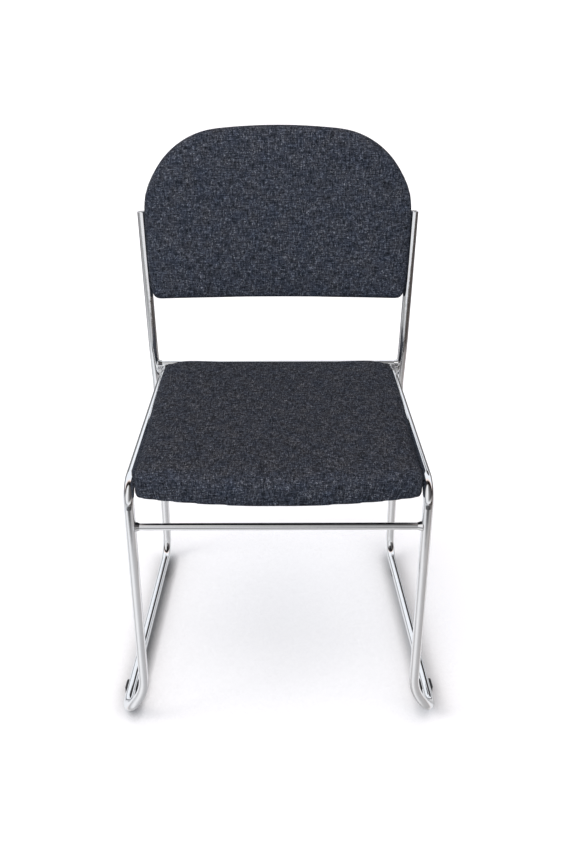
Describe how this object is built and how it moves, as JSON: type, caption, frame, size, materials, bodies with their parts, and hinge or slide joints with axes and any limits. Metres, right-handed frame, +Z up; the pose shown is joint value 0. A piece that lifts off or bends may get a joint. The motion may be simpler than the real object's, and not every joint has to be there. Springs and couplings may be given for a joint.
{
  "type": "stacking chair",
  "caption": "Stacking side chair: a chromed bent-tube sled frame with two round crossbars, carrying a padded seat and a domed padded back in charcoal melange fabric.",
  "frame": {"origin": "on the floor, under the middle of the chair's box", "axes": "+Z up, -Y the way the chair faces, +X towards the sitter's left"},
  "size_m": [0.5306, 0.564, 0.8644],
  "materials": {
    "chrome_tube": "bright chrome plate on steel",
    "black_plastic": "moulded black polypropylene",
    "clip_plastic": "natural nylon",
    "plywood": "raw beech plywood",
    "foam": "cut polyurethane foam",
    "upholstery": "charcoal melange woven wool blend",
    "dust_cloth": "black non-woven dust cloth",
    "zinc_steel": "zinc plated steel"
  },
  "bodies": {
    "root": {"back_board": "plywood", "back_bracket_left": "chrome_tube", "back_bracket_right": "chrome_tube", "back_cover": "upholstery", "back_foam": "foam", "back_screws": "zinc_steel", "back_shell": "black_plastic", "back_tee_nuts": "zinc_steel", "frame_welds": "chrome_tube", "front_crossbar": "chrome_tube", "glide_front_left": "black_plastic", "glide_front_right": "black_plastic", "glide_rear_left": "black_plastic", "glide_rear_right": "black_plastic", "rail_plug_left": "black_plastic", "rail_plug_right": "black_plastic", "rear_crossbar": "chrome_tube", "seat_board": "plywood", "seat_cover": "upholstery", "seat_dust_cover": "dust_cloth", "seat_foam": "foam", "seat_screws": "zinc_steel", "seat_tab_front_left": "chrome_tube", "seat_tab_front_right": "chrome_tube", "seat_tab_rear_left": "chrome_tube", "seat_tab_rear_right": "chrome_tube", "seat_tee_nuts": "zinc_steel", "shell_clips": "clip_plastic", "side_frame_left": "chrome_tube", "side_frame_right": "chrome_tube", "upright_plug_left": "chrome_tube", "upright_plug_right": "chrome_tube"}
  },
  "joints": []
}
